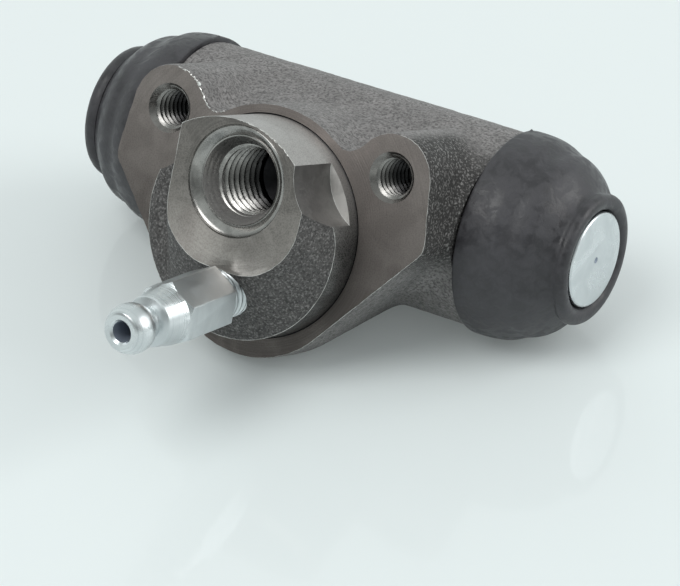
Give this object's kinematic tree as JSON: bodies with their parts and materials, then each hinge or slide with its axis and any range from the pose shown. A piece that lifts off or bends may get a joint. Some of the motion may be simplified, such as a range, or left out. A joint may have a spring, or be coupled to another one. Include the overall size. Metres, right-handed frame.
{
  "type": "wheel cylinder",
  "caption": "Hydraulic drum brake wheel cylinder: cast body with mounting flange and port boss, two opposed pistons with rubber boots, inner cups and spring, and a bleeder screw.",
  "frame": {"origin": "centre of the pilot spigot on the machined mounting face", "axes": "+X along the bore, -Y out of the mounting face towards the port boss and bleeder, +Z towards the bolt ears"},
  "size_m": [0.0764, 0.0654, 0.0362],
  "materials": {
    "cast_iron": "rough sand-cast grey iron with machined mounting and port faces",
    "zinc_steel": "turned steel, bright zinc plated",
    "boot_rubber": "black satin moulded rubber",
    "seal_rubber": "black moulded rubber",
    "pressed_steel": "pressed steel, yellow passivated",
    "spring_steel": "drawn spring wire"
  },
  "bodies": {
    "housing": {"body": "cast_iron", "left_boot": "boot_rubber", "right_boot": "boot_rubber", "spring": "spring_steel"},
    "left_piston_set": {"left_piston": "zinc_steel", "left_cup_seal": "seal_rubber", "left_cup_expander": "pressed_steel"},
    "right_piston_set": {"right_piston": "zinc_steel", "right_cup_seal": "seal_rubber", "right_cup_expander": "pressed_steel"},
    "bleeder": {"bleeder_screw": "zinc_steel"}
  },
  "joints": [
    {"name": "left_piston_slide", "type": "slide", "parent": "housing", "child": "left_piston_set", "axis": [-1, 0, 0], "range_m": [-0.002, 0.008], "deforming": ["left_boot", "spring"]},
    {"name": "right_piston_slide", "type": "slide", "parent": "housing", "child": "right_piston_set", "axis": [1, 0, 0], "range_m": [-0.002, 0.008], "deforming": ["right_boot", "spring"]},
    {"name": "bleeder_turn", "type": "hinge", "parent": "housing", "child": "bleeder", "pos_m": [0.00167, -0.0049, -0.0073], "axis": [0, -0.9871, -0.1599], "range_deg": [0, 270]}
  ]
}
